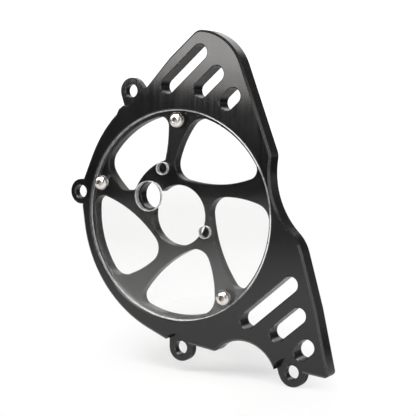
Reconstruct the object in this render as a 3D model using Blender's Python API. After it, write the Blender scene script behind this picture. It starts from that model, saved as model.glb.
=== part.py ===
"""Motorcycle sprocket cover with a clear window, modelled at its real size.

The plate is one billet piece that stands upright, as it is bolted to an engine: its face looks
along -Y, +X points to the rear wheel and +Z is up. The origin is on the axis of the round window,
in the plane of the ears that rest on the engine. A clear disc lies in a seat turned into the face
and three button-head screws hold it against the five-spoked web behind it.
"""

import math

import bmesh
import bpy

MM = 0.001
FULL_TURN = 2.0 * math.pi

# Fits and faceting
PART_GAP = 0.3 * MM
OVERCUT = 0.5 * MM
CHORD_ERROR = 0.03 * MM
WIDEST_STEP = math.radians(15.0)
LONGEST_SWEEP = math.radians(340.0)
SHARP_ANGLE = math.radians(32.0)

# Plate
PLATE_THICKNESS = 9.0 * MM
FRONT_CHAMFER = 1.0 * MM
BACK_CHAMFER = 0.8 * MM
HOLE_CHAMFER = 0.5 * MM

# Clear window disc
DISC_DIAMETER = 99.4 * MM
DISC_THICKNESS = 3.0 * MM
DISC_CHAMFER = 0.4 * MM
DISC_HOLE_CHAMFER = 0.3 * MM
SEAT_EDGE_CHAMFER = 0.2 * MM

# Spoked web behind the disc: two bowed sides run from the rim of each opening to its foot,
# whose reach counts from the shaft hole
SPOKE_COUNT = 5
SEAT_LEDGE = 2.3 * MM
OPENING_TOP_ANGLE = 77.5
OPENING_TIP_ANGLE = 24.73
OPENING_FOOT_ANGLE = 98.75
OPENING_FOOT_REACH = 4.62 * MM
LEADING_SIDE_RADIUS = 46.8 * MM
TRAILING_SIDE_RADIUS = 62.3 * MM
OPENING_TOP_RADIUS = 8.2 * MM
OPENING_FOOT_RADIUS = 7.7 * MM
OPENING_TIP_RADIUS = 4.6 * MM
WEB_CHAMFER = 0.3 * MM
SHAFT_HOLE_DIAMETER = 28.9 * MM

# Boss that carries the push rod bore and fills the foot of the upper left opening
BOSS_SPOKE = 1
BOSS_WALL = 2.7 * MM
BOSS_CORNER_RADIUS = 2.5 * MM
BOSS_SILL_HEIGHT = 11.0 * MM
ROD_BORE_DIAMETER = 13.0 * MM
ROD_BORE_ANGLE = 149.3
ROD_BORE_REACH = 17.8 * MM

# Holes in the disc, apart from those of its screws
ROD_WINDOW_CLEARANCE = 0.45 * MM
ROD_WINDOW_TURN = 1.9
ROD_WINDOW_SHIFT = 0.35 * MM
VENT_DIAMETER = 5.5 * MM
UPPER_VENT_CENTRE = (110.0, 23.5 * MM)
LOWER_VENT_CENTRE = (-25.0, 16.6 * MM)

# M4 button-head screws of the disc, with a 2.5 mm hexagon
SCREW_DIAMETER = 4.0 * MM
SCREW_LENGTH = 8.0 * MM
SCREW_TIP_CHAMFER = 0.4 * MM
SCREW_HEAD_DIAMETER = 7.4 * MM
SCREW_HEAD_HEIGHT = 2.2 * MM
SCREW_HEAD_RIM = 0.35 * MM
SCREW_CROWN_DIAMETER = 3.6 * MM
SCREW_SOCKET_WIDTH = 2.5 * MM
SCREW_SOCKET_DEPTH = 1.3 * MM
SCREW_SEGMENTS = 24
SCREW_DOME_STEPS = 5
SCREW_CIRCLE_INSET = 5.15 * MM
SCREW_ANGLES = (89.0, 161.0, -55.0)

# Ears, thinned from the front: centre angle, reach beyond the seat, outer radius,
# then the direction, the length and the flare of the root that runs into the plate
EAR_THICKNESS = 4.5 * MM
EAR_HOLE_DIAMETER = 6.5 * MM
EAR_CHAMFER = 0.4 * MM
SPOT_FACE_DIAMETER = 15.0 * MM
TOP_EAR = (115.4, 15.2 * MM, 6.2 * MM, -62.0, 6.4 * MM, 1.3 * MM)
FRONT_EAR = (170.8, 9.3 * MM, 6.2 * MM, 0.0, 8.5 * MM, 0.0)
LOW_EAR = (-90.3, 13.4 * MM, 6.5 * MM, 90.0, 7.4 * MM, 0.0)
REAR_EAR = (-49.7, 40.2 * MM, 6.8 * MM, 90.0, 7.3 * MM, 0.0)

# Rim round the front half of the window
RIM_WIDTH = 3.95 * MM
RIM_CENTRE = (14.7, 7.86 * MM)

# Rounds of the outline: centre angle, reach beyond the seat, radius, where a hollow is negative.
# The waist is a hollow that touches the rounds at its foot and its top
TAIL_CORNER = (-41.21, 50.95 * MM, 2.0 * MM)
WAIST_FOOT = (-21.5, 1.27 * MM, 18.0 * MM)
WAIST_RADIUS = 37.7 * MM
WAIST_TOP = (33.85, 1.05 * MM, 7.0 * MM)
LOBE = (79.25, 12.9 * MM, 24.2 * MM)
LOBE_CORNER = (80.7, 31.2 * MM, 5.8 * MM)
LOBE_SHOULDER = (76.5, 6.85 * MM, 25.0 * MM)
LOBE_FOOT = (105.55, 13.6 * MM, -1.0 * MM)
EAR_SHOULDER = (123.0, 8.3 * MM, 1.5 * MM)
EAR_HOLLOW = (126.4, 10.35 * MM, -2.0 * MM)
NOTCH = (-65.06, 31.5 * MM, -17.84 * MM)
NOTCH_CORNER_RADIUS = 2.0 * MM
NOTCH_CORNER_ANGLE = 136.4
NOTCH_END_ANGLE = 10.5

# Points of the outline: angle and reach beyond the seat, all under a spot face but the first
TAIL_KNEE = (-28.25, 31.6 * MM)
TOP_EAR_POINTS = ((109.2, 12.45 * MM), (111.35, 11.85 * MM), (119.9, 10.0 * MM))
FRONT_EAR_POINTS = ((164.6, 6.4 * MM), (176.25, 5.1 * MM))
LOW_EAR_POINTS = ((-95.75, 9.65 * MM), (-84.3, 10.5 * MM))
REAR_EAR_POINT = (-46.3, 43.1 * MM)

# Two fans of parallel slots: centre angle, reach beyond the seat, length between end centres
SLOT_WIDTH = 7.5 * MM
TOP_SLOT_DIRECTION = 40.4
TAIL_SLOT_DIRECTION = 39.7
TOP_SLOTS = (
    (86.55, 18.25 * MM, 23.0 * MM),
    (74.3, 14.5 * MM, 10.9 * MM),
    (62.2, 11.15 * MM, 4.4 * MM),
)
TAIL_SLOTS = (
    (-37.5, 11.2 * MM, 27.9 * MM),
    (-38.6, 24.3 * MM, 13.7 * MM),
    (-40.65, 37.3 * MM, 3.3 * MM),
)

# Colour, roughness and metallic value of each material
ANODISED_BLACK = ((0.018, 0.018, 0.019, 1.0), 0.38, 0.9)
CLEAR_PLASTIC = ((0.85, 0.88, 0.9, 1.0), 0.06, 0.0)
STAINLESS_STEEL = ((0.72, 0.7, 0.67, 1.0), 0.2, 1.0)

# Sizes that follow from the ones above
FACE_Y = -PLATE_THICKNESS
SEAT_RADIUS = DISC_DIAMETER / 2 + PART_GAP
DISC_BACK_Y = FACE_Y + DISC_THICKNESS
SEAT_Y = DISC_BACK_Y + PART_GAP
EAR_FACE_Y = -EAR_THICKNESS
SCREW_CIRCLE_RADIUS = SEAT_RADIUS - SCREW_CIRCLE_INSET
SCREW_HOLE_RADIUS = SCREW_DIAMETER / 2 + PART_GAP
SCREW_SEAT_Y = FACE_Y - PART_GAP
BOSS_RADIUS = ROD_BORE_REACH + ROD_BORE_DIAMETER / 2 + BOSS_WALL


def polar(angle, distance, centre=(0.0, 0.0)):
    """Return the point at an angle in degrees and a distance from a centre, in the plate's plane."""
    turn = math.radians(angle)
    return (centre[0] + distance * math.cos(turn), centre[1] + distance * math.sin(turn))


def beyond_seat(angle, reach, *_):
    """Return the point at an angle that lies a reach outside the window seat."""
    return polar(angle, SEAT_RADIUS + reach)


def outline_round(placed):
    """Return the centre and radius of a round given by angle, reach and radius."""
    return (beyond_seat(*placed), placed[2])


def outline_point(placed):
    """Return the centre and zero radius of a point given by angle and reach."""
    return (beyond_seat(*placed), 0.0)


def tangent_normal(first, second):
    """Return the outward normal of the straight that joins two rounds."""
    (x0, z0), r0 = first
    (x1, z1), r1 = second
    span = math.hypot(x1 - x0, z1 - z0)
    ux = (x1 - x0) / span
    uz = (z1 - z0) / span
    along = max(-1.0, min(1.0, (r0 - r1) / span))
    across = math.sqrt(1.0 - along * along)
    return (along * ux + across * uz, along * uz - across * ux)


def arc_steps(radius, sweep):
    """Return how many chords keep an arc within the chord error."""
    step = min(WIDEST_STEP, 2.0 * math.acos(max(0.0, 1.0 - CHORD_ERROR / radius)))
    return max(1, math.ceil(abs(sweep) / step))


def belt(rounds):
    """Return the outline that runs anticlockwise round a list of (centre, radius).

    A positive radius bulges outwards, a negative one is a hollow and zero is a sharp corner.
    Neighbours that don't touch are joined by a straight that is tangent to both. A round that
    its neighbours swallow, so that its arc would run almost all the way round, is one point.
    """
    points = []
    for index, ((x, z), radius) in enumerate(rounds):
        if radius == 0.0:
            points.append((x, z))
            continue
        before = tangent_normal(rounds[index - 1], rounds[index])
        after = tangent_normal(rounds[index], rounds[(index + 1) % len(rounds)])
        start = math.atan2(before[1], before[0])
        way = math.copysign(1.0, radius)
        sweep = way * ((math.atan2(after[1], after[0]) - start) * way % FULL_TURN)
        if abs(sweep) > LONGEST_SWEEP:
            start += (sweep - way * FULL_TURN) / 2.0
            sweep = 0.0
        steps = arc_steps(abs(radius), sweep)
        for step in range(steps + 1):
            turn = start + sweep * step / steps
            points.append((x + radius * math.cos(turn), z + radius * math.sin(turn)))
    return [point for index, point in enumerate(points)
            if math.dist(point, points[index - 1]) > CHORD_ERROR]


def circle(centre, radius):
    """Return a round outline."""
    steps = max(24, arc_steps(radius, FULL_TURN))
    return [polar(360.0 * step / steps, radius, centre) for step in range(steps)]


def bowed_side(start, end, radius):
    """Return the round whose arc runs anticlockwise from one point to another."""
    (x0, z0), (x1, z1) = start, end
    chord = math.dist(start, end)
    rise = math.sqrt(max(0.0, radius * radius - chord * chord / 4.0))
    return (((x0 + x1) / 2.0 - (z1 - z0) / chord * rise,
             (z0 + z1) / 2.0 + (x1 - x0) / chord * rise), radius)


def corner_between(first, second, radius):
    """Return the round that touches two rounds, inside their corner or, if negative, outside."""
    (x0, z0), r0 = first
    (x1, z1), r1 = second
    reach0 = r0 - radius
    reach1 = r1 - radius
    span = math.hypot(x1 - x0, z1 - z0)
    ux = (x1 - x0) / span
    uz = (z1 - z0) / span
    along = (reach0 * reach0 - reach1 * reach1 + span * span) / (2.0 * span)
    across = math.sqrt(max(0.0, reach0 * reach0 - along * along))
    if radius < 0.0:
        across = -across
    return ((x0 + along * ux - across * uz, z0 + along * uz + across * ux), radius)


def grow(outline, distance):
    """Return an outline moved outwards by a distance, with mitred corners."""
    grown = []
    for index, (x, z) in enumerate(outline):
        x0, z0 = outline[index - 1]
        x1, z1 = outline[(index + 1) % len(outline)]
        back = math.hypot(x - x0, z - z0)
        ahead = math.hypot(x1 - x, z1 - z)
        nx0, nz0 = (z - z0) / back, (x0 - x) / back
        nx1, nz1 = (z1 - z) / ahead, (x - x1) / ahead
        mitre = distance / (1.0 + nx0 * nx1 + nz0 * nz1)
        grown.append((x + (nx0 + nx1) * mitre, z + (nz0 + nz1) * mitre))
    return grown


def loft(mesh, sections):
    """Extrude a face through a list of (Y, outline), whose outlines have equal point counts."""
    number = mesh.verts.layers.int.get("number") or mesh.verts.layers.int.new("number")
    first_y, first_outline = sections[0]
    ring = []
    for index, (x, z) in enumerate(first_outline):
        corner = mesh.verts.new((x, first_y, z))
        corner[number] = index
        ring.append(corner)
    first_cap = mesh.faces.new(ring)
    cap = first_cap
    for y, outline in sections[1:]:
        extruded = bmesh.ops.extrude_face_region(mesh, geom=[cap])["geom"]
        if cap is not first_cap:
            mesh.faces.remove(cap)
        cap = next(item for item in extruded if isinstance(item, bmesh.types.BMFace))
        for corner in cap.verts:
            x, z = outline[corner[number]]
            corner.co = (x, y, z)


def slab(mesh, outline, front_y, back_y, front_chamfer, back_chamfer):
    """Add a slab between two planes, with its edges chamfered inwards."""
    loft(mesh, [
        (front_y, grow(outline, -front_chamfer)),
        (front_y + front_chamfer, outline),
        (back_y - back_chamfer, outline),
        (back_y, grow(outline, -back_chamfer)),
    ])


def opening(mesh, outline, front_y, back_y, front_chamfer, back_chamfer):
    """Add a cutter that runs past both planes and chamfers the edges it leaves."""
    loft(mesh, [
        (front_y - OVERCUT, grow(outline, front_chamfer + OVERCUT)),
        (front_y + front_chamfer, outline),
        (back_y - back_chamfer, outline),
        (back_y + OVERCUT, grow(outline, back_chamfer + OVERCUT)),
    ])


def core(mesh, outline, front_y, back_y, front_chamfer, back_chamfer):
    """Add what a cutter spares: it outruns the cutter and its edges are chamfered inwards."""
    spare = 2.0 * OVERCUT
    loft(mesh, [
        (front_y - spare, grow(outline, -front_chamfer - spare)),
        (front_y + front_chamfer, outline),
        (back_y - back_chamfer, outline),
        (back_y + spare, grow(outline, -back_chamfer - spare)),
    ])


def pocket(mesh, outline, front_y, floor_y, front_chamfer):
    """Add a cutter for a recess that is open at the front."""
    loft(mesh, [
        (front_y - OVERCUT, grow(outline, front_chamfer + OVERCUT)),
        (front_y + front_chamfer, outline),
        (floor_y, outline),
    ])


def plate_outline():
    """Return the plate's outline without its ears, from the tail corner round over the top."""
    rim = (polar(*RIM_CENTRE), SEAT_RADIUS + RIM_WIDTH + RIM_CENTRE[1])
    waist_foot = outline_round(WAIST_FOOT)
    waist_top = outline_round(WAIST_TOP)
    notch = outline_round(NOTCH)
    notch_corner = polar(NOTCH_CORNER_ANGLE, NOTCH_CORNER_RADIUS - notch[1], notch[0])
    notch_end = polar(NOTCH_END_ANGLE, -notch[1], notch[0])
    return belt([
        outline_round(TAIL_CORNER),
        outline_point(TAIL_KNEE),
        waist_foot,
        corner_between(waist_foot, waist_top, -WAIST_RADIUS),
        waist_top,
        outline_round(LOBE),
        outline_round(LOBE_CORNER),
        outline_round(LOBE_SHOULDER),
        outline_round(LOBE_FOOT),
        *[outline_point(point) for point in TOP_EAR_POINTS],
        outline_round(EAR_SHOULDER),
        outline_round(EAR_HOLLOW),
        rim,
        *[outline_point(point) for point in FRONT_EAR_POINTS],
        rim,
        *[outline_point(point) for point in LOW_EAR_POINTS],
        (notch_corner, NOTCH_CORNER_RADIUS),
        notch,
        (notch_end, 0.0),
        outline_point(REAR_EAR_POINT),
    ])


def ear_outline(ear):
    """Return the outline of an ear, from its round end to the root inside the plate."""
    _, _, radius, direction, length, flare = ear
    centre = beyond_seat(*ear)
    root = polar(direction, length, centre)
    half = radius + flare
    return belt([
        (centre, radius),
        (polar(direction - 90.0, half, root), 0.0),
        (polar(direction + 90.0, half, root), 0.0),
    ])


def web_opening(turn):
    """Return the outline of one opening between two spokes."""
    rim = ((0.0, 0.0), SEAT_RADIUS - SEAT_LEDGE)
    top = polar(OPENING_TOP_ANGLE + turn, rim[1])
    tip = polar(OPENING_TIP_ANGLE + turn, rim[1])
    foot = polar(OPENING_FOOT_ANGLE + turn, SHAFT_HOLE_DIAMETER / 2 + OPENING_FOOT_REACH)
    leading = bowed_side(top, foot, LEADING_SIDE_RADIUS)
    trailing = bowed_side(foot, tip, TRAILING_SIDE_RADIUS)
    return belt([
        rim,
        corner_between(rim, leading, OPENING_TOP_RADIUS),
        leading,
        corner_between(leading, trailing, OPENING_FOOT_RADIUS),
        trailing,
        corner_between(trailing, rim, OPENING_TIP_RADIUS),
    ])


def boss_outline():
    """Return the outline of the round boss and of the sill that runs from it to the seat."""
    corner_z = BOSS_SILL_HEIGHT + BOSS_CORNER_RADIUS
    corner_x = -math.sqrt(max(0.0, (BOSS_RADIUS + BOSS_CORNER_RADIUS) ** 2 - corner_z ** 2))
    return belt([
        ((0.0, 0.0), BOSS_RADIUS),
        ((corner_x, corner_z), -BOSS_CORNER_RADIUS),
        ((-SEAT_RADIUS, BOSS_SILL_HEIGHT), 0.0),
    ])


def slot_outline(slot, direction):
    """Return the outline of a slot with round ends."""
    centre = beyond_seat(*slot)
    start = polar(direction + 180.0, slot[2] / 2, centre)
    end = polar(direction, slot[2] / 2, centre)
    return belt([(start, SLOT_WIDTH / 2), (end, SLOT_WIDTH / 2)])


def hexagon(width):
    """Return a hexagon with as many points as a screw has segments."""
    points = []
    for step in range(SCREW_SEGMENTS):
        angle = 360.0 * step / SCREW_SEGMENTS
        from_flat = math.radians(angle % 60.0 - 30.0)
        points.append(polar(angle, width / 2 / math.cos(from_flat)))
    return points


def make_material(name, look):
    """Create a surface material from a colour, a roughness and a metallic value."""
    colour, roughness, metallic = look
    material = bpy.data.materials.new(name)
    material.use_nodes = True
    shader = material.node_tree.nodes["Principled BSDF"]
    shader.inputs["Base Color"].default_value = colour
    shader.inputs["Roughness"].default_value = roughness
    shader.inputs["Metallic"].default_value = metallic
    return material


def make_mesh(name, mesh, material=None):
    """Turn a bmesh into mesh data with faces that point outwards."""
    bmesh.ops.recalc_face_normals(mesh, faces=mesh.faces)
    data = bpy.data.meshes.new(name)
    mesh.to_mesh(data)
    mesh.free()
    if material:
        data.materials.append(material)
    return data


def add_object(name, data):
    """Link an object with this mesh to the scene."""
    part = bpy.data.objects.new(name, data)
    bpy.context.scene.collection.objects.link(part)
    return part


def combine(part, name, mesh, operation):
    """Join a helper shape to a part or cut it away with a live Boolean, and return the helper."""
    helper = add_object(name, make_mesh(name, mesh))
    helper.hide_render = True
    helper.display_type = "WIRE"
    helper.parent = part
    boolean = part.modifiers.new(name, "BOOLEAN")
    boolean.operation = operation
    boolean.solver = "EXACT"
    boolean.object = helper
    return helper


def shade(data):
    """Shade a mesh smooth apart from its edges."""
    data.shade_smooth()
    data.set_sharp_from_angle(angle=SHARP_ANGLE)


def build_plate():
    """Model the billet plate with its thin ears, window seat, spoked web and slots."""
    ears = (TOP_EAR, FRONT_EAR, LOW_EAR, REAR_EAR)

    body = bmesh.new()
    slab(body, plate_outline(), FACE_Y, 0.0, FRONT_CHAMFER, BACK_CHAMFER)
    data = make_mesh("cover_plate", body, make_material("anodised_black", ANODISED_BLACK))
    plate = add_object("cover_plate", data)

    spot_faces = bmesh.new()
    for ear in ears:
        face = circle(beyond_seat(*ear), SPOT_FACE_DIAMETER / 2)
        pocket(spot_faces, face, FACE_Y, EAR_FACE_Y, 0.0)
    combine(plate, "spot_faces", spot_faces, "DIFFERENCE")

    lugs = bmesh.new()
    for ear in ears:
        slab(lugs, ear_outline(ear), EAR_FACE_Y, 0.0, EAR_CHAMFER, BACK_CHAMFER)
    combine(plate, "ear_lugs", lugs, "UNION")

    fixing_holes = bmesh.new()
    for ear in ears:
        hole = circle(beyond_seat(*ear), EAR_HOLE_DIAMETER / 2)
        opening(fixing_holes, hole, EAR_FACE_Y, 0.0, HOLE_CHAMFER, BACK_CHAMFER)
    combine(plate, "fixing_holes", fixing_holes, "DIFFERENCE")

    seat = bmesh.new()
    pocket(seat, circle((0.0, 0.0), SEAT_RADIUS), FACE_Y, SEAT_Y, SEAT_EDGE_CHAMFER)
    combine(plate, "window_seat", seat, "DIFFERENCE")

    web = bmesh.new()
    boss_side = bmesh.new()
    for spoke in range(SPOKE_COUNT):
        cutter = boss_side if spoke == BOSS_SPOKE else web
        outline = web_opening(math.degrees(FULL_TURN * spoke / SPOKE_COUNT))
        opening(cutter, outline, SEAT_Y, 0.0, WEB_CHAMFER, BACK_CHAMFER)
    for angle in SCREW_ANGLES:
        hole = circle(polar(angle, SCREW_CIRCLE_RADIUS), SCREW_HOLE_RADIUS)
        opening(web, hole, SEAT_Y, 0.0, WEB_CHAMFER, WEB_CHAMFER)
    combine(plate, "web_openings", web, "DIFFERENCE")

    boss = bmesh.new()
    core(boss, boss_outline(), SEAT_Y, 0.0, WEB_CHAMFER, BACK_CHAMFER)
    beside_boss = combine(plate, "opening_beside_boss", boss_side, "DIFFERENCE")
    combine(beside_boss, "boss", boss, "DIFFERENCE")

    shaft_hole = bmesh.new()
    shaft = circle((0.0, 0.0), SHAFT_HOLE_DIAMETER / 2)
    opening(shaft_hole, shaft, SEAT_Y, 0.0, WEB_CHAMFER, BACK_CHAMFER)
    combine(plate, "shaft_hole", shaft_hole, "DIFFERENCE")

    rod_bore = bmesh.new()
    rod = circle(polar(ROD_BORE_ANGLE, ROD_BORE_REACH), ROD_BORE_DIAMETER / 2)
    opening(rod_bore, rod, SEAT_Y, 0.0, WEB_CHAMFER, BACK_CHAMFER)
    combine(plate, "rod_bore", rod_bore, "DIFFERENCE")

    slots = bmesh.new()
    for fan, direction in ((TOP_SLOTS, TOP_SLOT_DIRECTION), (TAIL_SLOTS, TAIL_SLOT_DIRECTION)):
        for slot in fan:
            outline = slot_outline(slot, direction)
            opening(slots, outline, FACE_Y, 0.0, HOLE_CHAMFER, BACK_CHAMFER)
    combine(plate, "slots", slots, "DIFFERENCE")
    shade(data)


def build_window():
    """Model the clear disc with its three round holes and the holes of its screws."""
    disc = bmesh.new()
    rim = circle((0.0, 0.0), DISC_DIAMETER / 2)
    slab(disc, rim, FACE_Y, DISC_BACK_Y, DISC_CHAMFER, DISC_CHAMFER)
    data = make_mesh("clear_window", disc, make_material("clear_plastic", CLEAR_PLASTIC))
    window = add_object("clear_window", data)

    holes = bmesh.new()
    rod_window = polar(ROD_BORE_ANGLE + ROD_WINDOW_TURN, ROD_BORE_REACH + ROD_WINDOW_SHIFT)
    rounds = [
        circle(rod_window, ROD_BORE_DIAMETER / 2 + ROD_WINDOW_CLEARANCE),
        circle(polar(*UPPER_VENT_CENTRE), VENT_DIAMETER / 2),
        circle(polar(*LOWER_VENT_CENTRE), VENT_DIAMETER / 2),
    ]
    for angle in SCREW_ANGLES:
        rounds.append(circle(polar(angle, SCREW_CIRCLE_RADIUS), SCREW_HOLE_RADIUS))
    for hole in rounds:
        opening(holes, hole, FACE_Y, DISC_BACK_Y, DISC_HOLE_CHAMFER, DISC_HOLE_CHAMFER)
    combine(window, "window_holes", holes, "DIFFERENCE")
    shade(data)


def screw_mesh(material):
    """Return the mesh of one button-head screw, its head in front of the disc's face."""
    def ring(diameter):
        step = 360.0 / SCREW_SEGMENTS
        return [polar(step * index, diameter / 2) for index in range(SCREW_SEGMENTS)]

    tip_y = SCREW_SEAT_Y + SCREW_LENGTH
    crown_y = SCREW_SEAT_Y - SCREW_HEAD_HEIGHT
    rim_y = SCREW_SEAT_Y - SCREW_HEAD_RIM
    sections = [
        (tip_y, ring(SCREW_DIAMETER - 2 * SCREW_TIP_CHAMFER)),
        (tip_y - SCREW_TIP_CHAMFER, ring(SCREW_DIAMETER)),
        (SCREW_SEAT_Y, ring(SCREW_DIAMETER)),
        (SCREW_SEAT_Y, ring(SCREW_HEAD_DIAMETER)),
    ]
    for step in range(SCREW_DOME_STEPS + 1):
        turn = 0.5 * math.pi * step / SCREW_DOME_STEPS
        slope = (SCREW_HEAD_DIAMETER - SCREW_CROWN_DIAMETER) * math.cos(turn)
        y = rim_y + (crown_y - rim_y) * math.sin(turn)
        sections.append((y, ring(SCREW_CROWN_DIAMETER + slope)))
    sections.append((crown_y, hexagon(SCREW_SOCKET_WIDTH)))
    sections.append((crown_y + SCREW_SOCKET_DEPTH, hexagon(SCREW_SOCKET_WIDTH)))

    screw = bmesh.new()
    loft(screw, sections)
    data = make_mesh("window_screw", screw, material)
    shade(data)
    return data


def build_screws():
    """Model the screws that hold the disc, all with one mesh."""
    data = screw_mesh(make_material("stainless_steel", STAINLESS_STEEL))
    for index, angle in enumerate(SCREW_ANGLES):
        screw = add_object(f"window_screw_{index + 1}", data)
        x, z = polar(angle, SCREW_CIRCLE_RADIUS)
        screw.location = (x, 0.0, z)


def main():
    """Empty the scene and build the cover."""
    for item in list(bpy.data.objects):
        bpy.data.objects.remove(item, do_unlink=True)
    build_plate()
    build_window()
    build_screws()


main()
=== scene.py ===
"""A sprocket cover for a motorcycle: a black anodised plate, a clear disc and three button head screws."""

import math

import bmesh
import bpy
from mathutils import Matrix, Quaternion, Vector


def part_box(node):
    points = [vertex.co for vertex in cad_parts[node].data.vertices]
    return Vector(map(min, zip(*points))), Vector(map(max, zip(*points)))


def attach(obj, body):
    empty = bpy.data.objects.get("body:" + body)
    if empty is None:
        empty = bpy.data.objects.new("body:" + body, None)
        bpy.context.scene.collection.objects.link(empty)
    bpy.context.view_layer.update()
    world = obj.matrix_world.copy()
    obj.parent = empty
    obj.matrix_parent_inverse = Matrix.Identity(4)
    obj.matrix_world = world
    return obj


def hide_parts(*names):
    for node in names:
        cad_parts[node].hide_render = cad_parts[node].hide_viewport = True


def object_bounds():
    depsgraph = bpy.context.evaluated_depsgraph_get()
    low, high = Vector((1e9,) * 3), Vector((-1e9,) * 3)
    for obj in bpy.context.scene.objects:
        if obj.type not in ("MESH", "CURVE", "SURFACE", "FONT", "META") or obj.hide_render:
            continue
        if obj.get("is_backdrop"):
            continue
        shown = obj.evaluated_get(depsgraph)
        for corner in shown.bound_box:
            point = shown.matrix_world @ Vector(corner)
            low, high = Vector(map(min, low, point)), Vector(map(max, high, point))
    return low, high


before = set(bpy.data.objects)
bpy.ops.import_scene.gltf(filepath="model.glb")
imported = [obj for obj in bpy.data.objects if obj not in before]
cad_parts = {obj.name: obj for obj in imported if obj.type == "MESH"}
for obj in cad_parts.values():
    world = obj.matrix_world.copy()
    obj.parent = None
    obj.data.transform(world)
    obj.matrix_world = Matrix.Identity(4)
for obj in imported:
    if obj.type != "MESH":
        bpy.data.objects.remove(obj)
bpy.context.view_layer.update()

bl_info = {
    "name": "Sprocket Cover",
    "version": (1, 0, 0),
    "blender": (4, 5, 0),
    "location": "View3D > Sidebar > Cover",
    "description": "Finishes the plate, the clear disc and the screws of a sprocket cover and sets its stage",
    "category": "Object",
}

MERGE_DISTANCE = 0.00001
SHARP_ANGLE = math.radians(28.0)
SCREW_SHARP_ANGLE = math.radians(26.0)
SCREWS = ("window_screw_1", "window_screw_2", "window_screw_3")

# How far a normal follows the Y axis: more is a broad face, less is a wall, and a chamfer lies between
FLAT_SLOPE = 0.98
WALL_SLOPE = 0.2

# Material slots of the plate, with the finish of each as a share of the plate's settings
PLATE_FACE, PLATE_EDGE, PLATE_WALL = range(3)
FACE_WEAR = 0.15
WALL_WEAR = 0.4
WALL_MARKS = 1.5
FACE_REFRACTION = 1.48
EDGE_REFRACTION = 1.55
WALL_REFRACTION = 1.4

# Colour of the plate where its black is worn, and how much each pattern adds to the finishes
WORN_FACE = (0.17, 0.165, 0.16, 1.0)
WORN_EDGE = (0.2, 0.195, 0.19, 1.0)
FINE_LINES = 0.65
WIDE_LINES = 0.35
FACE_CLOUDS = 0.5
WALL_CLOUDS = 0.6

# Material slots of the disc. A cut edge belongs to the rim beyond this share of the radius, else to a hole
DISC_FACE, DISC_RIM, DISC_RIM_CORNER, DISC_HOLE, DISC_HOLE_CORNER = range(5)
RIM_SHARE = 0.97

# Light that the disc's broad faces let through into its shadow, and the roughness that dirt adds to them
SHADOW_TINT = (0.93, 0.93, 0.93, 1.0)
SMEAR_ROUGHNESS = 0.03
DUST_ROUGHNESS = 0.12

# Cut edges of the disc, in the order of its slots: name, transmission, roughness, stretch of the cutter's
# marks, their depth and how dark they are
DISC_CUTS = (
    ("routed_rim", 1.0, 0.25, (0.05, 1.0, 0.05), 0.000001, 0.85),
    ("rim_corner", 0.7, 0.35, (0.3, 1.0, 0.3), 0.000001, 0.85),
    ("drilled_hole", 0.4, 0.15, (1.0, 0.05, 1.0), 0.00008, 0.45),
    ("hole_corner", 0.4, 0.3, (1.0, 0.3, 1.0), 0.00004, 0.45),
)

# How far a cutter's marks and the grain move the roughness of a cut edge, as a share of it
MARK_SWING = 0.5
GRAIN_SWING = 0.2

# Material slots of the screws, and how many rings of a screw's profile lie inside its socket
STEEL_HEAD, STEEL_SOCKET = range(2)
SOCKET_RINGS = 4

# Finish of the screws: the lathe's rings along the profile, their depth and their roughness
TURNING_SCALE = 100.0
RING_DEPTH = 0.000015
RING_ROUGHNESS = 0.1
RING_POLISH = 0.04
CLOUD_SHADE = 0.82
SOCKET_DULLNESS = 2.0

# Form of the screws in metres, and in shares of half the socket, the crown, the head or the thread
SCREW_SEGMENTS = 72
SCREW_TURN_DEGREES = 17.0
SOCKET_CONE = 0.00035
SOCKET_TIP_SHARE = 0.08
SOCKET_FLOOR_SHARE = 0.86
SOCKET_FLOOR_CORNER = 0.00015
SOCKET_MOUTH = 0.0001
SOCKET_MOUTH_SHARE = 1.09
CROWN_SHARE = 0.487
CROWN_EDGE_SHARE = 0.985
CROWN_STEP = 0.00001
HEAD_STEPS = 10
HEAD_ANGLE = math.radians(72.0)
THREAD_SHARE = 0.16
THREAD_END = 1.4
TIP_SHARE = 0.72

# Rounded lower edge of a head: its size, where the dome ends, and its rings up from the seat and in from
# the rim, all in shares of that size
HEAD_EDGE = 0.00028
DOME_END = 1.6
HEAD_EDGE_RINGS = ((0.6, 0.0), (0.2, 0.25), (0.0, 0.8))

# Floor: half its width, its gap to the part, and its paper
FLOOR_REACH = 2.2
FLOOR_GAP = 0.0002
PAPER_ROUGHNESS = 0.9
FIBRE_SHADE = 0.985

# How the floor's colour darkens along a direction, a painted shade that darkens it in reflections
FADE_DIRECTION = (0.5, 0.86, 0.0)
FADE_BEHIND = 1.7
FADE_START = 0.22
FADE_END = 0.62
PAINTED_SHADE_SHARE = 0.12

# Oval round the part's foot where the camera sees the floor's shadow, with the share of plain white there
SHADOW_PLACE = (0.0086, 0.005, 0.0)
SHADOW_SCALE = (0.27, 1.0, 1.0)
SHADOW_START = 0.12
SHADOW_END = 0.24
SHADOW_WHITE = 0.54

# Brightness of the backdrop, the share of it that glossy faces mirror low behind the part, and the
# distances between which the floor rises to its brightness
BACKDROP = 1.15
MIRRORED_BACKDROP = 0.15
RISE_START = 1.0
RISE_END = 1.9

# Colour of the light from all around
SKY_COLOR = (1.0, 0.995, 0.985, 1.0)

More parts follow.
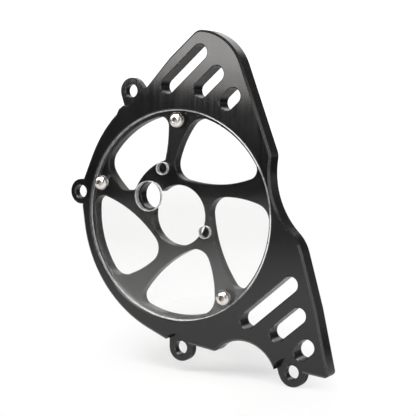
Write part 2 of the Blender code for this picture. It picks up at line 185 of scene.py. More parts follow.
# Softboxes: name, place, target, width, height, brightness as a share of the setting, colour and roll
WARM = (1.0, 0.97, 0.945)
WHITE = (1.0, 1.0, 1.0)
LEAN = math.radians(-10.5)
LAMPS = (
    ("front_softbox", (-0.68, -1.12, 0.5125), (0.0, 0.0, 0.5125), 0.95, 0.72, 1.25, WARM, LEAN),
    ("front_softbox_rim", (-0.68, -1.12, 0.1285), (0.0, 0.0, 0.1285), 0.95, 0.047, 0.84, WARM, LEAN),
    ("top_softbox", (0.02, -0.75, 0.9), (0.0, 0.0, 0.0), 0.75, 0.75, 1.22, WHITE, 0.0),
    ("back_softbox", (-0.2, 1.15, 0.65), (0.0, 0.0, 0.0), 0.8, 0.45, 0.24, WHITE, 0.0),
    ("side_softbox", (1.2, -0.75, 0.35), (0.0, 0.0, 0.1), 0.7, 0.9, 0.22, WHITE, 0.0),
)


def screw_size(node):
    """Centre, radius, top and tip of one screw, taken from the box of its node."""
    low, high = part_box(node)
    centre = (Vector(low) + Vector(high)) / 2.0
    return centre, (high[0] - low[0]) / 2.0, low[1], high[1]


HEAD_RADIUS = screw_size(SCREWS[0])[1]


class CoverPlateSettings(bpy.types.PropertyGroup):
    """Colours and finish of the plate."""

    face_color: bpy.props.FloatVectorProperty(
        name="Face Colour", description="Anodised colour of the broad faces", subtype="COLOR",
        size=3, min=0.0, max=1.0, default=(0.004, 0.004, 0.0042))
    edge_color: bpy.props.FloatVectorProperty(
        name="Edge Colour", description="Colour of the chamfers, where the black is thinner", subtype="COLOR",
        size=3, min=0.0, max=1.0, default=(0.012, 0.012, 0.0124))
    wall_color: bpy.props.FloatVectorProperty(
        name="Wall Colour", description="Colour of the milled walls", subtype="COLOR",
        size=3, min=0.0, max=1.0, default=(0.006, 0.006, 0.0063))
    face_roughness: bpy.props.FloatProperty(
        name="Face Roughness", description="Roughness of the brushed faces", subtype="FACTOR",
        min=0.0, max=1.0, default=0.075)
    wall_roughness: bpy.props.FloatProperty(
        name="Wall Roughness", description="Roughness of the milled walls", subtype="FACTOR",
        min=0.0, max=1.0, default=0.16)
    brushing: bpy.props.FloatProperty(
        name="Brushing", description="Depth of the upright brushing lines", subtype="DISTANCE",
        min=0.0, max=0.0005, default=0.00002, precision=6)
    wear: bpy.props.FloatProperty(
        name="Wear", description="How much of each edge has lost its black", subtype="FACTOR",
        min=0.0, max=1.0, default=0.15)


class CoverDiscSettings(bpy.types.PropertyGroup):
    """Colours and finish of the clear disc."""

    tint: bpy.props.FloatVectorProperty(
        name="Tint", description="Colour of the clear plastic", subtype="COLOR",
        size=3, min=0.0, max=1.0, default=(0.958, 0.958, 0.953))
    frost_color: bpy.props.FloatVectorProperty(
        name="Frost Colour", description="Colour of the cut edges", subtype="COLOR",
        size=3, min=0.0, max=1.0, default=(0.86, 0.87, 0.87))
    refraction: bpy.props.FloatProperty(
        name="Refractive Index", description="Refractive index of the clear plastic",
        min=1.0, max=2.0, default=1.49)
    haze: bpy.props.FloatProperty(
        name="Haze", description="Roughness of the polished faces", subtype="FACTOR",
        min=0.0, max=1.0, default=0.015)


class CoverScrewSettings(bpy.types.PropertyGroup):
    """Sizes and finish of the three screws."""

    metal_color: bpy.props.FloatVectorProperty(
        name="Metal Colour", description="Colour of the stainless steel", subtype="COLOR",
        size=3, min=0.0, max=1.0, default=(0.72, 0.7, 0.67))
    roughness: bpy.props.FloatProperty(
        name="Roughness", description="Roughness of the turned heads", subtype="FACTOR",
        min=0.0, max=1.0, default=0.18)
    # Painted shade: the sockets' dark brown colour stands in for the shade in their recesses
    socket_shade_color: bpy.props.FloatVectorProperty(
        name="Socket Colour", description="Colour of the steel inside the sockets", subtype="COLOR",
        size=3, min=0.0, max=1.0, default=(0.2, 0.17, 0.14))
    head_radius: bpy.props.FloatProperty(
        name="Head Radius", description="Radius of the button heads", subtype="DISTANCE",
        min=0.001, max=0.01, default=HEAD_RADIUS, precision=5)
    head_height: bpy.props.FloatProperty(
        name="Head Height", description="Height of the button heads", subtype="DISTANCE",
        min=0.0005, max=0.01, default=0.0022, precision=5)
    socket_width: bpy.props.FloatProperty(
        name="Socket Width", description="Width of the hexagon socket across its flats", subtype="DISTANCE",
        min=0.0005, max=0.01, default=0.0025, precision=5)
    socket_depth: bpy.props.FloatProperty(
        name="Socket Depth", description="Depth of the hexagon socket", subtype="DISTANCE",
        min=0.0002, max=0.01, default=0.0013, precision=5)
    thread_radius: bpy.props.FloatProperty(
        name="Thread Radius", description="Outer radius of the thread", subtype="DISTANCE",
        min=0.0005, max=0.01, default=0.002, precision=5)
    thread_pitch: bpy.props.FloatProperty(
        name="Thread Pitch", description="Distance between two turns of the thread", subtype="DISTANCE",
        min=0.0002, max=0.01, default=0.0007, precision=5)


class CoverStageSettings(bpy.types.PropertyGroup):
    """Floor, lamps and camera."""

    floor_color: bpy.props.FloatVectorProperty(
        name="Floor Colour", description="Colour of the floor", subtype="COLOR",
        size=3, min=0.0, max=1.0, default=(0.9, 0.9, 0.9))
    camera_place: bpy.props.FloatVectorProperty(
        name="Camera Place", description="Place of the camera", subtype="TRANSLATION",
        size=3, default=(0.2718, -0.4469, 0.0436))
    camera_turn: bpy.props.FloatProperty(
        name="Camera Turn", description="Turn of the camera about the upright axis", subtype="ANGLE",
        default=math.radians(30.157))
    camera_tilt: bpy.props.FloatProperty(
        name="Camera Tilt", description="Angle at which the camera looks down", subtype="ANGLE",
        default=math.radians(4.429))
    camera_lens: bpy.props.FloatProperty(
        name="Camera Lens", description="Focal length of the camera in millimetres",
        min=10.0, max=300.0, default=95.45)
    softbox_strength: bpy.props.FloatProperty(
        name="Softbox Strength", description="Brightness of the softbox in front of the plate",
        min=0.0, max=50.0, default=6.0)
    sky_strength: bpy.props.FloatProperty(
        name="Sky Strength", description="Brightness of the light from all around",
        min=0.0, max=5.0, default=0.13)


def math_node(tree, operation, first, second, clamp=False):
    """A math node. Each input is a socket to link from or a number."""
    node = tree.nodes.new("ShaderNodeMath")
    node.operation = operation
    node.use_clamp = clamp
    for index, value in enumerate((first, second)):
        if isinstance(value, (int, float)):
            node.inputs[index].default_value = value
        else:
            tree.links.new(value, node.inputs[index])
    return node.outputs[0]


def noise_node(tree, vector, scale, detail, roughness=0.5):
    """Noise between 0 and 1 on a vector socket."""
    node = tree.nodes.new("ShaderNodeTexNoise")
    node.inputs["Scale"].default_value = scale
    node.inputs["Detail"].default_value = detail
    node.inputs["Roughness"].default_value = roughness
    tree.links.new(vector, node.inputs["Vector"])
    return node.outputs["Fac"]


def stretch_node(tree, vector, scale):
    """A vector socket scaled by axis."""
    node = tree.nodes.new("ShaderNodeMapping")
    node.inputs["Scale"].default_value = scale
    tree.links.new(vector, node.inputs["Vector"])
    return node.outputs["Vector"]


def vector_length(tree, vector):
    """The length of a vector socket."""
    node = tree.nodes.new("ShaderNodeVectorMath")
    node.operation = "LENGTH"
    tree.links.new(vector, node.inputs[0])
    return node.outputs["Value"]


def range_node(tree, value, low, high, to_low=0.0, to_high=1.0):
    """A value mapped from one range to another and clamped."""
    node = tree.nodes.new("ShaderNodeMapRange")
    tree.links.new(value, node.inputs["Value"])
    for name, number in (("From Min", low), ("From Max", high), ("To Min", to_low), ("To Max", to_high)):
        node.inputs[name].default_value = number
    return node.outputs["Result"]


def mix_color(tree, factor, first, second):
    """Two colours mixed by a factor. Each input is a socket or a value."""
    node = tree.nodes.new("ShaderNodeMix")
    node.data_type = "RGBA"
    for index, value in ((0, factor), (6, first), (7, second)):
        if hasattr(value, "node"):
            tree.links.new(value, node.inputs[index])
        else:
            node.inputs[index].default_value = value
    return node.outputs[2]


def finish_group(name):
    """A node group for a finish of the anodised plate, with its two end nodes."""
    tree = bpy.data.node_groups.new(name, "ShaderNodeTree")
    for label, kind, value in (
            ("Colour", "NodeSocketColor", (0.01, 0.01, 0.01, 1.0)),
            ("Roughness", "NodeSocketFloat", 0.3),
            ("Wear", "NodeSocketFloat", 0.2)):
        socket = tree.interface.new_socket(label, in_out="INPUT", socket_type=kind)
        socket.default_value = value
    for label, kind in (
            ("Colour", "NodeSocketColor"), ("Roughness", "NodeSocketFloat"), ("Height", "NodeSocketFloat")):
        tree.interface.new_socket(label, in_out="OUTPUT", socket_type=kind)
    start = tree.nodes.new("NodeGroupInput")
    start.location = (-900, 0)
    end = tree.nodes.new("NodeGroupOutput")
    end.location = (900, 0)
    return tree, start, end


def end_finish(tree, end, color, shade, rough, height):
    """Link a finish to its group's end, with its colour scaled by a shade."""
    tint = tree.nodes.new("ShaderNodeVectorMath")
    tint.operation = "SCALE"
    tree.links.new(color, tint.inputs[0])
    tree.links.new(shade, tint.inputs["Scale"])
    tree.links.new(tint.outputs[0], end.inputs["Colour"])
    tree.links.new(rough, end.inputs["Roughness"])
    tree.links.new(height, end.inputs["Height"])


def brushed_group():
    """Fine upright brushing lines with cloudy patches of colour and roughness."""
    tree = bpy.data.node_groups.get("Brushed Anodising")
    if tree:
        return tree
    tree, start, end = finish_group("Brushed Anodising")
    place = tree.nodes.new("ShaderNodeTexCoord").outputs["Object"]
    long = stretch_node(tree, place, (1.0, 1.0, 0.02))
    fine = noise_node(tree, long, scale=2600.0, detail=3.0, roughness=0.6)
    short = stretch_node(tree, place, (1.0, 1.0, 0.05))
    wide = noise_node(tree, short, scale=420.0, detail=2.0)
    clouds = noise_node(tree, place, scale=38.0, detail=4.0, roughness=0.55)
    specks = noise_node(tree, place, scale=1500.0, detail=2.0, roughness=0.7)
    streaks = math_node(
        tree, "ADD", math_node(tree, "MULTIPLY", fine, FINE_LINES),
        math_node(tree, "MULTIPLY", wide, WIDE_LINES))
    bare = range_node(tree, specks, low=0.56, high=0.74)
    thin = math_node(tree, "MULTIPLY", bare, start.outputs["Wear"], clamp=True)
    worn = mix_color(tree, thin, start.outputs["Colour"], WORN_FACE)
    cloudy = math_node(tree, "ADD", streaks, math_node(tree, "MULTIPLY", clouds, FACE_CLOUDS))
    shade = range_node(tree, cloudy, low=0.5, high=1.0, to_low=0.8, to_high=1.25)
    uneven = math_node(
        tree, "SUBTRACT", range_node(tree, streaks, low=0.35, high=0.65, to_high=0.06),
        range_node(tree, clouds, low=0.3, high=0.7, to_high=0.05))
    rough = math_node(tree, "ADD", start.outputs["Roughness"], uneven, clamp=True)
    end_finish(tree, end, worn, shade, rough, streaks)
    return tree


def milled_group():
    """Cutter marks that run round the walls, parallel to the plate's faces."""
    tree = bpy.data.node_groups.get("Milled Anodising")
    if tree:
        return tree
    tree, start, end = finish_group("Milled Anodising")
    place = tree.nodes.new("ShaderNodeTexCoord").outputs["Object"]
    around = stretch_node(tree, place, (0.03, 1.0, 0.03))
    passes = noise_node(tree, around, scale=1900.0, detail=3.0, roughness=0.6)
    clouds = noise_node(tree, place, scale=60.0, detail=4.0, roughness=0.55)
    specks = noise_node(tree, place, scale=1300.0, detail=2.0, roughness=0.7)
    bare = range_node(tree, specks, low=0.54, high=0.72)
    thin = math_node(tree, "MULTIPLY", bare, start.outputs["Wear"], clamp=True)
    worn = mix_color(tree, thin, start.outputs["Colour"], WORN_EDGE)
    cloudy = math_node(tree, "ADD", passes, math_node(tree, "MULTIPLY", clouds, WALL_CLOUDS))
    shade = range_node(tree, cloudy, low=0.5, high=1.1, to_low=0.75, to_high=1.3)
    both = math_node(tree, "ADD", passes, clouds)
    uneven = range_node(tree, both, low=0.7, high=1.3, to_low=-0.04, to_high=0.08)
    rough = math_node(tree, "ADD", start.outputs["Roughness"], uneven, clamp=True)
    end_finish(tree, end, worn, shade, rough, passes)
    return tree


def new_material(name, color, roughness, metallic=0.0, ior=1.5):
    """A material with its Principled shader at plain values."""
    material = bpy.data.materials.new(name)
    material.use_nodes = True
    tree = material.node_tree
    shader = next(n for n in tree.nodes if n.type == "BSDF_PRINCIPLED")
    shader.inputs["Base Color"].default_value = (*color, 1.0)
    shader.inputs["Roughness"].default_value = roughness
    shader.inputs["Metallic"].default_value = metallic
    shader.inputs["IOR"].default_value = ior
    material.diffuse_color = (*color, 1.0)
    return material, tree, shader


def anodised_material(name, group, color, roughness, wear, depth, ior):
    """Black anodised aluminium with one of the finish groups."""
    material, tree, shader = new_material(name, color, roughness, ior=ior)
    finish = tree.nodes.new("ShaderNodeGroup")
    finish.node_tree = group
    finish.location = (-420, 100)
    finish.inputs["Colour"].default_value = (*color, 1.0)
    finish.inputs["Roughness"].default_value = roughness
    finish.inputs["Wear"].default_value = wear
    bump = tree.nodes.new("ShaderNodeBump")
    bump.location = (-200, -200)
    bump.inputs["Strength"].default_value = 1.0
    bump.inputs["Distance"].default_value = depth
    tree.links.new(finish.outputs["Colour"], shader.inputs["Base Color"])
    tree.links.new(finish.outputs["Roughness"], shader.inputs["Roughness"])
    tree.links.new(finish.outputs["Height"], bump.inputs["Height"])
    tree.links.new(bump.outputs["Normal"], shader.inputs["Normal"])
    return material


def add_piece(name, mesh, node):
    """An object for a finished mesh, which stands for a node of the frame."""
    piece = bpy.data.objects.new(name, mesh)
    bpy.context.scene.collection.objects.link(piece)
    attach(piece, "root")
    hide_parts(node)
    return piece


def merged_copy(node, name):
    """A node's faces, joined along their shared edges, and a new mesh for them to go to."""
    bm = bmesh.new()
    bm.from_mesh(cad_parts[node].data)
    bmesh.ops.remove_doubles(bm, verts=bm.verts[:], dist=MERGE_DISTANCE)
    bm.normal_update()
    mesh = bpy.data.meshes.new(name)
    return bm, mesh


def finish_mesh(bm, mesh, angle=SHARP_ANGLE):
    """Smooth faces with sharp edges where the surface turns, written to the mesh."""
    for face in bm.faces:
        face.smooth = True
    for edge in bm.edges:
        edge.smooth = len(edge.link_faces) == 2 and edge.calc_face_angle() < angle
    bm.to_mesh(mesh)
    bm.free()
    for name in ("custom_normal", "UVMap"):
        if name in mesh.attributes:
            mesh.attributes.remove(mesh.attributes[name])
    return mesh


class CoverBuildPlate(bpy.types.Operator):
    """Build the plate with brushed faces, pale chamfers and milled walls"""

    bl_idname = "cover.build_plate"
    bl_label = "Build Plate"

    def execute(self, context):
        """Sort the plate's faces by their slope and give each kind its finish."""
        settings = context.scene.cover_plate
        bm, mesh = merged_copy("cover_plate", "plate")
        if not bm.faces:
            raise RuntimeError("The plate has no faces")
        for face in bm.faces:
            slope = abs(face.normal.y)
            if slope > FLAT_SLOPE:
                face.material_index = PLATE_FACE
            elif slope < WALL_SLOPE:
                face.material_index = PLATE_WALL
            else:
                face.material_index = PLATE_EDGE
        finish_mesh(bm, mesh)
        mesh.materials.append(anodised_material(
            "brushed_face", brushed_group(), settings.face_color, settings.face_roughness,
            settings.wear * FACE_WEAR, settings.brushing, FACE_REFRACTION))
        mesh.materials.append(anodised_material(
            "chamfered_edge", milled_group(), settings.edge_color, settings.wall_roughness,
            settings.wear, settings.brushing, EDGE_REFRACTION))
        mesh.materials.append(anodised_material(
            "milled_wall", milled_group(), settings.wall_color, settings.wall_roughness,
            settings.wear * WALL_WEAR, settings.brushing * WALL_MARKS, WALL_REFRACTION))
        add_piece("plate", mesh, "cover_plate")
        return {"FINISHED"}


def clear_material(settings):
    """Clear polished plastic that lets the lamps' light through to what is behind it."""
    material, tree, shader = new_material(
        "clear_face", settings.tint, settings.haze, ior=settings.refraction)
    shader.inputs["Transmission Weight"].default_value = 1.0
    place = tree.nodes.new("ShaderNodeTexCoord").outputs["Object"]
    long = stretch_node(tree, place, (1.0, 1.0, 0.4))
    smears = noise_node(tree, long, scale=55.0, detail=4.0, roughness=0.6)
    smeared = range_node(
        tree, smears, low=0.5, high=0.75, to_low=settings.haze, to_high=settings.haze + SMEAR_ROUGHNESS)
    dust = noise_node(tree, place, scale=1400.0, detail=2.0, roughness=0.7)
    dusty = range_node(tree, dust, low=0.68, high=0.8, to_high=DUST_ROUGHNESS)
    haze = math_node(tree, "ADD", smeared, dusty, clamp=True)
    tree.links.new(haze, shader.inputs["Roughness"])
    clear = tree.nodes.new("ShaderNodeBsdfTransparent")
    clear.inputs["Color"].default_value = SHADOW_TINT
    path = tree.nodes.new("ShaderNodeLightPath")
    mix = tree.nodes.new("ShaderNodeMixShader")
    out = next(n for n in tree.nodes if n.type == "OUTPUT_MATERIAL")
    tree.links.new(path.outputs["Is Shadow Ray"], mix.inputs[0])
    tree.links.new(shader.outputs[0], mix.inputs[1])
    tree.links.new(clear.outputs[0], mix.inputs[2])
    tree.links.new(mix.outputs[0], out.inputs["Surface"])
    return material


def cut_material(settings, name, transmission, roughness, stretch, depth, dark):
    """An edge of the disc as a cutter leaves it, with marks along the axes that the stretch holds down."""
    frost = settings.frost_color
    material, tree, shader = new_material(name, frost, roughness, ior=settings.refraction)
    shader.inputs["Transmission Weight"].default_value = transmission
    place = tree.nodes.new("ShaderNodeTexCoord").outputs["Object"]
    along = stretch_node(tree, place, stretch)
    marks = noise_node(tree, along, scale=1500.0, detail=3.0, roughness=0.65)
    swing = roughness * MARK_SWING
    marked = range_node(tree, marks, low=0.35, high=0.65, to_low=-swing, to_high=swing)
    grain = noise_node(tree, place, scale=900.0, detail=3.0, roughness=0.6)
    swing = roughness * GRAIN_SWING
    grained = range_node(
        tree, grain, low=0.3, high=0.7, to_low=roughness - swing, to_high=roughness + swing)
    rough = math_node(tree, "ADD", marked, grained, clamp=True)
    tree.links.new(rough, shader.inputs["Roughness"])
    darker = (*(c * dark for c in frost), 1.0)
    color = mix_color(tree, range_node(tree, marks, low=0.4, high=0.6), darker, (*frost, 1.0))
    tree.links.new(color, shader.inputs["Base Color"])
    bump = tree.nodes.new("ShaderNodeBump")
    bump.inputs["Distance"].default_value = depth
    tree.links.new(marks, bump.inputs["Height"])
    tree.links.new(bump.outputs["Normal"], shader.inputs["Normal"])
    return material


def disc_slot(face, centre, rim):
    """The material slot of a face of the disc, by its slope and its distance from the centre."""
    slope = abs(face.normal.y)
    if slope > FLAT_SLOPE:
        return DISC_FACE
    out = face.calc_center_median() - centre
    corner = slope > WALL_SLOPE
    if math.hypot(out.x, out.z) > rim:
        return DISC_RIM_CORNER if corner else DISC_RIM
    return DISC_HOLE_CORNER if corner else DISC_HOLE


class CoverBuildDisc(bpy.types.Operator):
    """Build the clear disc with polished faces and dull cut edges"""

    bl_idname = "cover.build_disc"
    bl_label = "Build Disc"

    def execute(self, context):
        """Give the disc's broad faces a polish and each kind of cut edge its own finish."""
        settings = context.scene.cover_disc
        bm, mesh = merged_copy("clear_window", "disc")
        if not bm.faces:
            raise RuntimeError("The disc has no faces")
        low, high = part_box("clear_window")
        centre = (Vector(low) + Vector(high)) / 2.0
        rim = (high[0] - low[0]) / 2.0 * RIM_SHARE
        for face in bm.faces:
            face.material_index = disc_slot(face, centre, rim)
        finish_mesh(bm, mesh)
        mesh.materials.append(clear_material(settings))
        for cut in DISC_CUTS:
            mesh.materials.append(cut_material(settings, *cut))
        add_piece("disc", mesh, "clear_window")
        return {"FINISHED"}


def steel_material(name, color, roughness):
    """Stainless steel with fine rings from the lathe."""
    material, tree, shader = new_material(name, color, roughness, metallic=1.0)
    turning = tree.nodes.new("ShaderNodeUVMap")
    turning.uv_map = "Turning"
    place = tree.nodes.new("ShaderNodeTexCoord").outputs["Object"]
    turned = stretch_node(tree, turning.outputs["UV"], (2.0, 260.0, 1.0))
    rings = noise_node(tree, turned, scale=6.0, detail=3.0, roughness=0.6)
    clouds = noise_node(tree, place, scale=500.0, detail=3.0, roughness=0.55)
    darker = (*(c * CLOUD_SHADE for c in color), 1.0)
    cloudy = mix_color(tree, range_node(tree, clouds, low=0.35, high=0.65), (*color, 1.0), darker)
    tree.links.new(cloudy, shader.inputs["Base Color"])
    ringed = range_node(tree, rings, low=0.3, high=0.7, to_high=RING_ROUGHNESS)
    rough = math_node(tree, "ADD", ringed, roughness - RING_POLISH, clamp=True)
    tree.links.new(rough, shader.inputs["Roughness"])
    bump = tree.nodes.new("ShaderNodeBump")
    bump.inputs["Distance"].default_value = RING_DEPTH
    tree.links.new(rings, bump.inputs["Height"])
    tree.links.new(bump.outputs["Normal"], shader.inputs["Normal"])
    return material


def screw_profile(settings, top, tip):
    """Rings of one screw from the socket's floor to its tip: place along Y, radius, and whether hexagonal."""
    flat = settings.socket_width / 2.0
    floor = top + settings.socket_depth
    rim = settings.head_radius
    crown = rim * CROWN_SHARE
    seat = top + settings.head_height
    rings = [
        (floor + SOCKET_CONE, flat * SOCKET_TIP_SHARE, False),
        (floor, flat * SOCKET_FLOOR_SHARE, True),
        (floor - SOCKET_FLOOR_CORNER, flat, True),
        (top + SOCKET_MOUTH, flat, True),
        (top, flat * SOCKET_MOUTH_SHARE, True),
        (top, crown * CROWN_EDGE_SHARE, False),
    ]
    for step in range(HEAD_STEPS + 1):
        along = step / HEAD_STEPS * HEAD_ANGLE
        drop = (1.0 - math.cos(along)) / (1.0 - math.cos(HEAD_ANGLE))
        out = math.sin(along) / math.sin(HEAD_ANGLE)
        here = top + CROWN_STEP + drop * (seat - HEAD_EDGE * DOME_END - top)
        rings.append((here, crown + out * (rim - crown), False))
    for up, inward in HEAD_EDGE_RINGS:
        rings.append((seat - HEAD_EDGE * up, rim - HEAD_EDGE * inward, False))
    rings.append((seat, settings.thread_radius, False))
    root = settings.thread_radius - settings.thread_radius * THREAD_SHARE
    here = seat + settings.thread_pitch
    while here < tip - settings.thread_pitch * THREAD_END:
        rings.append((here, settings.thread_radius, False))
        rings.append((here + settings.thread_pitch / 2.0, root, False))
        here += settings.thread_pitch
    rings.append((here, settings.thread_radius, False))
    rings.append((tip, settings.thread_radius * TIP_SHARE, False))
    return rings


def hexagon_reach(angle, flat):
    """Distance from the centre to a hexagon's side in a direction."""
    return flat / math.cos((angle % (math.pi / 3.0)) - math.pi / 6.0)


def sort_parts(bm, order):
    """Put the edges and faces in an order that is the same in every run, by the places of their points."""
    def rank(part):
        places = [order[v] for v in part.verts]
        return max(places) * len(order) + min(places)

    bm.edges.sort(key=rank)
    bm.faces.sort(key=rank)


def screw_mesh(name, settings, centre, top, tip, turn):
    """One button head screw, lofted ring by ring along Y."""
    bm = bmesh.new()
    layer = bm.loops.layers.uv.new("Turning")
    rings = screw_profile(settings, top, tip)
    loops = []
    first = bmesh.ops.create_circle(
        bm, cap_ends=True, segments=SCREW_SEGMENTS, radius=rings[0][1],
        matrix=Matrix.Rotation(math.radians(-90.0), 4, "X"))
    current = first["verts"]
    angles = [math.atan2(v.co.z, v.co.x) for v in current]
    edges = [e for e in bm.edges if all(v in current for v in e.verts)]
    along = 0.0
    before = None
    for here, reach, hexed in rings:
        if before is not None:
            made = bmesh.ops.extrude_edge_only(bm, edges=edges)["geom"]
            edges = [g for g in made if isinstance(g, bmesh.types.BMEdge)]
            fresh = [g for g in made if isinstance(g, bmesh.types.BMVert)]
            order = []
            for old in current:
                order.append(next(e.other_vert(old) for e in old.link_edges if e.other_vert(old) in fresh))
            current = order
            along += math.hypot(here - before[0], reach - before[1])
        for vert, angle in zip(current, angles):
            length = hexagon_reach(angle - turn, reach) if hexed else reach
            vert.co = Vector((centre.x + length * math.cos(angle), here, centre.z + length * math.sin(angle)))
        loops.append((list(current), along))
        before = (here, reach)
    bmesh.ops.contextual_create(bm, geom=edges)
    run = {v: d for verts, d in loops for v in verts}
    sort_parts(bm, {v: place for place, v in enumerate(run)})
    socket_end = loops[SOCKET_RINGS - 1][1]
    for face in bm.faces:
        inside = max(run[v] for v in face.verts) <= socket_end
        face.material_index = STEEL_SOCKET if inside else STEEL_HEAD
        for loop in face.loops:
            place = loop.vert.co - centre
            loop[layer].uv = (math.atan2(place.z, place.x) / math.tau, run[loop.vert] * TURNING_SCALE)
    bmesh.ops.recalc_face_normals(bm, faces=bm.faces[:])
    return finish_mesh(bm, bpy.data.meshes.new(name), SCREW_SHARP_ANGLE)


class CoverBuildScrews(bpy.types.Operator):
    """Build the three button head screws that hold the disc"""

    bl_idname = "cover.build_screws"
    bl_label = "Build Screws"

    def execute(self, context):
        """Loft each screw at the place of its node."""
        settings = context.scene.cover_screws
        steel = steel_material("turned_steel", settings.metal_color, settings.roughness)
        dull = settings.roughness * SOCKET_DULLNESS
        # The sockets get a painted shade: a dark brown copy of the steel, duller than the heads
        socket = steel_material("socket_painted_shade", settings.socket_shade_color, dull)
        for number, node in enumerate(SCREWS, 1):
            centre, _, top, tip = screw_size(node)
            turn = math.radians(SCREW_TURN_DEGREES * number)
            mesh = screw_mesh(f"screw_{number}", settings, centre, top, tip, turn)
            mesh.materials.append(steel)
            mesh.materials.append(socket)
            add_piece(f"screw_{number}", mesh, node)
        return {"FINISHED"}


def seen_directly(tree):
    """One for what the camera sees, straight or through the clear disc, and zero for any reflection."""
    path = tree.nodes.new("ShaderNodeLightPath")
    bounces = math_node(tree, "ADD", path.outputs["Glossy Depth"], path.outputs["Diffuse Depth"])
    through = math_node(
        tree, "MULTIPLY", path.outputs["Is Transmission Ray"], math_node(tree, "LESS_THAN", bounces, 0.5))
    return math_node(tree, "MAXIMUM", path.outputs["Is Camera Ray"], through), path


def paper_with_painted_shade(tree, place, color):
    """The paper's colour, with a painted shade that darkens it away from the part so that reflections darken.
    """
    fibres = noise_node(tree, place, scale=700.0, detail=4.0, roughness=0.6)
    ahead = tree.nodes.new("ShaderNodeVectorMath")
    ahead.operation = "DOT_PRODUCT"
    ahead.inputs[1].default_value = FADE_DIRECTION
    tree.links.new(place, ahead.inputs[0])
    along = math_node(
        tree, "MAXIMUM", math_node(tree, "MULTIPLY", ahead.outputs["Value"], FADE_BEHIND),
        math_node(tree, "MULTIPLY", ahead.outputs["Value"], -1.0))
    # Painted shade: away from the part the paper's colour falls to a small share of itself
    far = range_node(tree, along, FADE_START, FADE_END)
    near = mix_color(tree, fibres, (*color, 1.0), (*(c * FIBRE_SHADE for c in color), 1.0))
    return mix_color(tree, far, near, (*(c * PAINTED_SHADE_SHARE for c in color), 1.0))


def shadow_share(tree, place, turn):
    """How white the camera sees the floor: less in an oval round the part's foot, and wholly beyond it."""
    turned = tree.nodes.new("ShaderNodeMapping")
    turned.vector_type = "TEXTURE"
    turned.inputs["Rotation"].default_value = (0.0, 0.0, turn)
    turned.inputs["Location"].default_value = SHADOW_PLACE
    turned.inputs["Scale"].default_value = SHADOW_SCALE
    tree.links.new(place, turned.inputs["Vector"])
    shaded = vector_length(tree, turned.outputs["Vector"])
    return range_node(tree, shaded, SHADOW_START, SHADOW_END, to_low=SHADOW_WHITE)


def floor_material(settings):
    """Matt white paper that stays white to the camera, and darkens away from the object in reflections by a
    painted shade.
    """
    material, tree, shader = new_material("white_paper", settings.floor_color, PAPER_ROUGHNESS)
    place = tree.nodes.new("ShaderNodeTexCoord").outputs["Object"]
    tree.links.new(paper_with_painted_shade(tree, place, settings.floor_color), shader.inputs["Base Color"])
    white = tree.nodes.new("ShaderNodeEmission")
    white.inputs["Color"].default_value = (1.0, 1.0, 1.0, 1.0)
    glow = range_node(
        tree, vector_length(tree, place), RISE_START, RISE_END, to_low=1.0, to_high=BACKDROP)
    tree.links.new(glow, white.inputs["Strength"])
    seen, _ = seen_directly(tree)
    share = math_node(tree, "MULTIPLY", seen, shadow_share(tree, place, settings.camera_turn))
    mix = tree.nodes.new("ShaderNodeMixShader")
    out = next(n for n in tree.nodes if n.type == "OUTPUT_MATERIAL")
    tree.links.new(share, mix.inputs[0])
    tree.links.new(shader.outputs[0], mix.inputs[1])
    tree.links.new(white.outputs[0], mix.inputs[2])
    tree.links.new(mix.outputs[0], out.inputs["Surface"])
    return material


def add_lamp(name, place, target, width, height, radiance, color, roll):
    """A rectangular softbox at a place, aimed at a target and rolled about its aim, of a given brightness."""
    data = bpy.data.lights.new(name, "AREA")
    data.shape = "RECTANGLE"
    data.size = width
    data.size_y = height
    data.energy = radiance * math.pi * width * height
    data.color = color
    lamp = bpy.data.objects.new(name, data)
    lamp.location = place
    aim = (Vector(target) - Vector(place)).to_track_quat("-Z", "Y")
    lamp.rotation_euler = (aim @ Quaternion((0.0, 0.0, 1.0), roll)).to_euler()
    bpy.context.scene.collection.objects.link(lamp)


def build_world(strength):
    """A white backdrop for the camera, a dim one behind the part in mirrors, and plain light all around."""
    world = bpy.data.worlds.new("studio")
    world.use_nodes = True
    bpy.context.scene.world = world
    tree = world.node_tree
    tree.nodes.clear()
    seen, path = seen_directly(tree)
    way = tree.nodes.new("ShaderNodeSeparateXYZ")
    tree.links.new(tree.nodes.new("ShaderNodeTexCoord").outputs["Generated"], way.inputs[0])
    behind = range_node(tree, way.outputs["Y"], low=0.3, high=0.8, to_high=MIRRORED_BACKDROP)
    beneath = range_node(tree, way.outputs["Z"], low=0.05, high=0.2, to_low=1.0, to_high=0.0)
    both = math_node(tree, "MULTIPLY", behind, beneath)
    mirrored = math_node(tree, "MULTIPLY", path.outputs["Is Glossy Ray"], both)
    share = math_node(tree, "MAXIMUM", seen, mirrored)
    backdrop = tree.nodes.new("ShaderNodeBackground")
    backdrop.inputs["Color"].default_value = (1.0, 1.0, 1.0, 1.0)
    backdrop.inputs["Strength"].default_value = BACKDROP
    light = tree.nodes.new("ShaderNodeBackground")
    light.inputs["Color"].default_value = SKY_COLOR
    light.inputs["Strength"].default_value = strength
    mix = tree.nodes.new("ShaderNodeMixShader")
    out = tree.nodes.new("ShaderNodeOutputWorld")
    tree.links.new(share, mix.inputs[0])
    tree.links.new(light.outputs[0], mix.inputs[1])
    tree.links.new(backdrop.outputs[0], mix.inputs[2])
    tree.links.new(mix.outputs[0], out.inputs["Surface"])


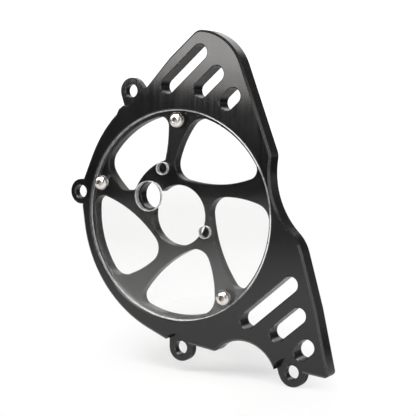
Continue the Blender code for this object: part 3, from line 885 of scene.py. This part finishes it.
class CoverSetStage(bpy.types.Operator):
    """Set up the floor, the lamps, the backdrop and the camera"""

    bl_idname = "cover.set_stage"
    bl_label = "Set Stage"

    def execute(self, context):
        """Lay the floor, hang the lamps and place the camera."""
        settings = context.scene.cover_stage
        scene = context.scene
        bm = bmesh.new()
        bmesh.ops.create_grid(bm, x_segments=8, y_segments=8, size=1.0)
        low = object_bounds()[0]
        for vert in bm.verts:
            vert.co = Vector((vert.co.x * FLOOR_REACH, vert.co.y * FLOOR_REACH, low.z - FLOOR_GAP))
        mesh = bpy.data.meshes.new("floor")
        bm.to_mesh(mesh)
        bm.free()
        mesh.materials.append(floor_material(settings))
        floor = bpy.data.objects.new("floor", mesh)
        scene.collection.objects.link(floor)
        floor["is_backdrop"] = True
        for name, place, target, width, height, share, color, roll in LAMPS:
            radiance = settings.softbox_strength * share
            add_lamp(name, place, target, width, height, radiance, color, roll)
        build_world(settings.sky_strength)
        scene.view_settings.view_transform = "Standard"
        data = bpy.data.cameras.new("camera")
        data.lens = settings.camera_lens
        data.sensor_width = 36.0
        data.clip_start = 0.01
        data.clip_end = 20.0
        data.dof.use_dof = False
        camera = bpy.data.objects.new("camera", data)
        camera.rotation_euler = (math.pi / 2.0 - settings.camera_tilt, 0.0, settings.camera_turn)
        camera.location = settings.camera_place
        scene.collection.objects.link(camera)
        scene.camera = camera
        return {"FINISHED"}


class CoverPanel(bpy.types.Panel):
    """The cover's sizes, colours and building steps."""

    bl_idname = "VIEW3D_PT_cover"
    bl_label = "Sprocket Cover"
    bl_space_type = "VIEW_3D"
    bl_region_type = "UI"
    bl_category = "Cover"

    def draw(self, context):
        """List each operator over the settings that it reads."""
        layout = self.layout
        for operator, group in STEPS:
            box = layout.box()
            box.operator(operator.bl_idname)
            settings = getattr(context.scene, group)
            for name in settings.__annotations__:
                box.prop(settings, name)


GROUPS = {
    "cover_plate": CoverPlateSettings,
    "cover_disc": CoverDiscSettings,
    "cover_screws": CoverScrewSettings,
    "cover_stage": CoverStageSettings,
}
STEPS = (
    (CoverBuildPlate, "cover_plate"),
    (CoverBuildDisc, "cover_disc"),
    (CoverBuildScrews, "cover_screws"),
    (CoverSetStage, "cover_stage"),
)


def register():
    """Register the classes and give the scene its settings."""
    for group in GROUPS.values():
        bpy.utils.register_class(group)
    for operator, _ in STEPS:
        bpy.utils.register_class(operator)
    bpy.utils.register_class(CoverPanel)
    for name, group in GROUPS.items():
        setattr(bpy.types.Scene, name, bpy.props.PointerProperty(type=group))


def unregister():
    """Take the settings and the classes away again."""
    for name in GROUPS:
        delattr(bpy.types.Scene, name)
    bpy.utils.unregister_class(CoverPanel)
    for operator, _ in reversed(STEPS):
        bpy.utils.unregister_class(operator)
    for group in reversed(GROUPS.values()):
        bpy.utils.unregister_class(group)


def main():
    """Build every piece and the stage."""
    register()
    bpy.ops.cover.build_plate()
    bpy.ops.cover.build_disc()
    bpy.ops.cover.build_screws()
    bpy.ops.cover.set_stage()


if __name__ == "__main__":
    main()
